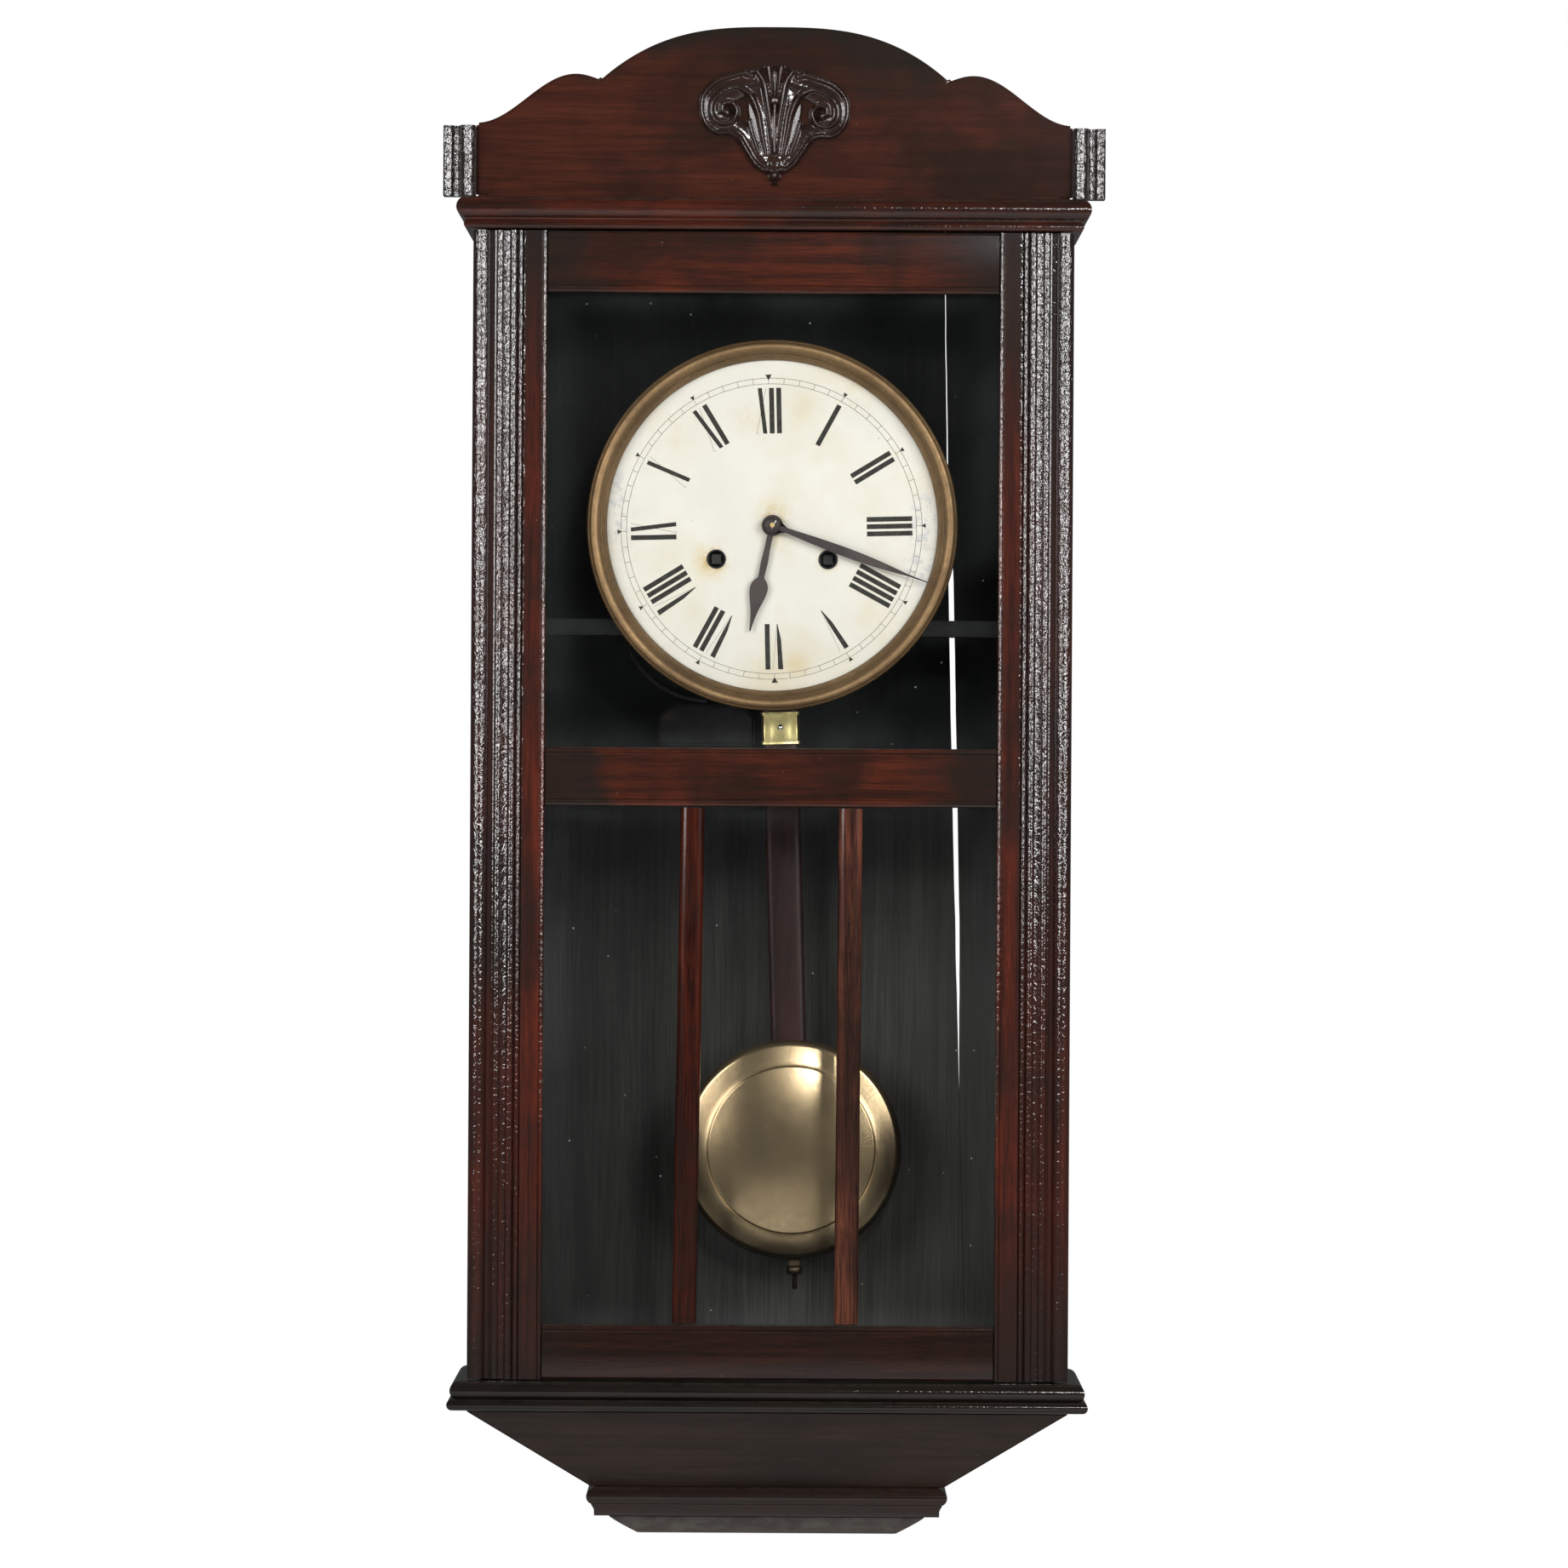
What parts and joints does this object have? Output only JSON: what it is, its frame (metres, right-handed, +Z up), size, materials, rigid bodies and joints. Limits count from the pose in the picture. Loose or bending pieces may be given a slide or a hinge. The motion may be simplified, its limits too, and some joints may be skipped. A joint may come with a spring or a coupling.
{
  "type": "wall clock",
  "caption": "Wooden wall clock with a shaped crest, glazed door, round white dial, strike and going trains, gong and pendulum.",
  "frame": {"origin": "on the wall plane, at the back of the case behind the dial's centre", "axes": "+Y into the wall, +Z up, +X to the right as the clock is read; the dial faces -Y"},
  "size_m": [0.3496, 0.1571, 0.7997],
  "materials": {
    "mahogany_case": "glossy shellac over dark red-brown mahogany, crazed and dusty",
    "mahogany_door": "glossy shellac over dark red-brown mahogany, crazed",
    "stained_pine": "black-stained softwood, matt",
    "rod_wood": "red-brown polished wood",
    "door_glass": "old sheet glass, dusty at the edges",
    "hinge_brass": "dull brass",
    "dial_paint": "cream dial paint with yellow stains",
    "aged_brass": "lacquered brass, coppery and worn",
    "bronzed_steel": "dark bronzed steel",
    "movement_brass": "aged machined brass",
    "movement_steel": "polished steel",
    "black_iron": "black painted cast iron",
    "pendulum_brass": "tarnished polished brass"
  },
  "bodies": {
    "case": {"side_left": "mahogany_case", "side_right": "mahogany_case", "top_board": "mahogany_case", "bottom_board": "mahogany_case", "back_board_wide": "stained_pine", "back_board_narrow": "stained_pine", "hanger_plate": "hinge_brass", "cornice": "mahogany_case", "crest_board": "mahogany_case", "crest_carving": "mahogany_case", "crest_block_left": "mahogany_case", "crest_block_right": "mahogany_case", "base_moulding": "mahogany_case", "apron": "mahogany_case", "drop_moulding": "mahogany_case", "drop_block": "mahogany_case", "seat_board": "stained_pine", "hinge_case_leaf_upper": "hinge_brass", "hinge_case_leaf_lower": "hinge_brass", "dial_plate": "dial_paint", "dial_bezel": "aged_brass", "front_plate": "movement_brass", "back_plate": "movement_brass", "gong_coil": "movement_steel", "gong_block": "black_iron"},
    "door": {"door_stile_left": "mahogany_door", "door_stile_right": "mahogany_door", "door_top_rail": "mahogany_door", "door_middle_rail": "mahogany_door", "door_bottom_rail": "mahogany_door", "door_mullion_left": "mahogany_door", "door_mullion_right": "mahogany_door", "upper_glass": "door_glass", "lower_glass": "door_glass", "hinge_door_leaf_upper": "hinge_brass", "hinge_door_leaf_lower": "hinge_brass"},
    "minute_hand_arbor": {"centre_arbor": "movement_brass", "minute_hand": "bronzed_steel"},
    "hour_hand_pipe": {"hour_wheel": "movement_brass", "hour_hand": "bronzed_steel"},
    "minute_wheel": {"minute_wheel": "movement_brass"},
    "third_wheel": {"third_wheel": "movement_brass"},
    "escape_wheel": {"escape_wheel": "movement_brass"},
    "second_wheel": {"second_wheel": "movement_brass"},
    "going_barrel": {"going_barrel": "movement_brass"},
    "going_winding_arbor": {"going_winding_arbor": "movement_steel"},
    "going_click": {"going_click": "movement_steel"},
    "strike_barrel": {"strike_barrel": "movement_brass"},
    "strike_winding_arbor": {"strike_winding_arbor": "movement_steel"},
    "strike_click": {"strike_click": "movement_steel"},
    "strike_second_wheel": {"strike_second_wheel": "movement_brass"},
    "pin_wheel": {"pin_wheel": "movement_brass"},
    "warning_wheel": {"warning_wheel": "movement_brass"},
    "fly": {"fly": "movement_brass"},
    "hammer": {"hammer": "movement_steel"},
    "anchor": {"anchor": "movement_steel"},
    "pendulum": {"pendulum_rod": "rod_wood", "rod_ferrule": "pendulum_brass"},
    "pendulum_bob": {"pendulum_bob": "pendulum_brass"},
    "rating_nut": {"rating_nut": "pendulum_brass"}
  },
  "joints": [
    {"name": "door_hinge", "type": "hinge", "parent": "case", "child": "door", "pos_m": [0.1557, -0.1258, -0.15], "axis": [0, 0, 1], "range_deg": [0, 110]},
    {"name": "minute_hand_turn", "type": "hinge", "parent": "case", "child": "minute_hand_arbor", "pos_m": [0, 0, 0], "axis": [0, 1, 0], "continuous": true},
    {"name": "hour_hand_turn", "type": "hinge", "parent": "case", "child": "hour_hand_pipe", "pos_m": [0, 0, 0], "axis": [0, 1, 0], "continuous": true},
    {"name": "minute_wheel_turn", "type": "hinge", "parent": "case", "child": "minute_wheel", "pos_m": [0, 0, -0.012], "axis": [0, 1, 0], "continuous": true},
    {"name": "third_wheel_turn", "type": "hinge", "parent": "case", "child": "third_wheel", "pos_m": [0, 0, 0.0165], "axis": [0, 1, 0], "continuous": true},
    {"name": "escape_wheel_turn", "type": "hinge", "parent": "case", "child": "escape_wheel", "pos_m": [0, 0, 0.033], "axis": [0, 1, 0], "continuous": true},
    {"name": "second_wheel_turn", "type": "hinge", "parent": "case", "child": "second_wheel", "pos_m": [0.01744, 0, 0.00436], "axis": [0, 1, 0], "continuous": true},
    {"name": "going_barrel_turn", "type": "hinge", "parent": "case", "child": "going_barrel", "pos_m": [0.0297, 0, -0.018], "axis": [0, 1, 0], "continuous": true},
    {"name": "going_winding", "type": "hinge", "parent": "case", "child": "going_winding_arbor", "pos_m": [0.0297, 0, -0.018], "axis": [0, 1, 0], "continuous": true},
    {"name": "going_click_lift", "type": "hinge", "parent": "case", "child": "going_click", "pos_m": [0.04327, 0, -0.00952], "axis": [0, 1, 0], "range_deg": [0, 14], "stiffness_Nm_per_rad": 0.002, "springref_deg": -17.19},
    {"name": "pin_wheel_turn", "type": "hinge", "parent": "case", "child": "pin_wheel", "pos_m": [-0.0269, 0, 0.01892], "axis": [0, 1, 0], "continuous": true},
    {"name": "strike_barrel_turn", "type": "hinge", "parent": "case", "child": "strike_barrel", "pos_m": [-0.0297, 0, -0.018], "axis": [0, 1, 0], "continuous": true},
    {"name": "strike_second_wheel_turn", "type": "hinge", "parent": "case", "child": "strike_second_wheel", "pos_m": [-0.01744, 0, 0.00436], "axis": [0, 1, 0], "continuous": true},
    {"name": "warning_wheel_turn", "type": "hinge", "parent": "case", "child": "warning_wheel", "pos_m": [-0.01687, 0, 0.02795], "axis": [0, 1, 0], "continuous": true},
    {"name": "fly_turn", "type": "hinge", "parent": "case", "child": "fly", "pos_m": [-0.02086, 0, 0.03652], "axis": [0, 1, 0], "continuous": true},
    {"name": "strike_winding", "type": "hinge", "parent": "case", "child": "strike_winding_arbor", "pos_m": [-0.0297, 0, -0.018], "axis": [0, 1, 0], "continuous": true},
    {"name": "strike_click_lift", "type": "hinge", "parent": "case", "child": "strike_click", "pos_m": [-0.04327, 0, -0.00952], "axis": [0, -1, 0], "range_deg": [0, 14], "stiffness_Nm_per_rad": 0.002, "springref_deg": -17.19},
    {"name": "hammer_swing", "type": "hinge", "parent": "case", "child": "hammer", "pos_m": [-0.044, 0, 0.03], "axis": [0, 1, 0], "range_deg": [-3, 12], "stiffness_Nm_per_rad": 0.3},
    {"name": "pendulum_swing", "type": "hinge", "parent": "case", "child": "pendulum", "pos_m": [0, -0.04, 0.05], "axis": [0, -1, 0], "range_deg": [-5.3, 1.7]},
    {"name": "anchor_swing", "type": "hinge", "parent": "case", "child": "anchor", "pos_m": [0, 0, 0.05], "axis": [0, -1, 0], "range_deg": [-5.3, 1.7]},
    {"name": "bob_slide", "type": "slide", "parent": "pendulum", "child": "pendulum_bob", "axis": [-0.0314, 0, 0.9995], "range_m": [-0.0024, 0.0024]},
    {"name": "rating_nut_turn", "type": "hinge", "parent": "pendulum_bob", "child": "rating_nut", "pos_m": [0.01394, -0.04, -0.39348], "axis": [-0.0314, 0, 0.9995], "range_deg": [-1080, 1080]}
  ],
  "couplings": [
    {"joint": "hour_hand_turn", "follows": "minute_hand_turn", "ratio": 0.083333},
    {"joint": "minute_wheel_turn", "follows": "minute_hand_turn", "ratio": -0.33333},
    {"joint": "third_wheel_turn", "follows": "minute_hand_turn", "ratio": -9},
    {"joint": "escape_wheel_turn", "follows": "minute_hand_turn", "ratio": 81},
    {"joint": "second_wheel_turn", "follows": "minute_hand_turn", "ratio": -0.20833},
    {"joint": "going_barrel_turn", "follows": "minute_hand_turn", "ratio": 0.027778},
    {"joint": "strike_second_wheel_turn", "follows": "pin_wheel_turn", "ratio": -0.16667},
    {"joint": "strike_barrel_turn", "follows": "pin_wheel_turn", "ratio": 0.022222},
    {"joint": "warning_wheel_turn", "follows": "pin_wheel_turn", "ratio": -8},
    {"joint": "fly_turn", "follows": "pin_wheel_turn", "ratio": 48},
    {"joint": "anchor_swing", "follows": "pendulum_swing", "ratio": 1},
    {"joint": "rating_nut_turn", "follows": "bob_slide", "rad_per_m": 7854}
  ]
}
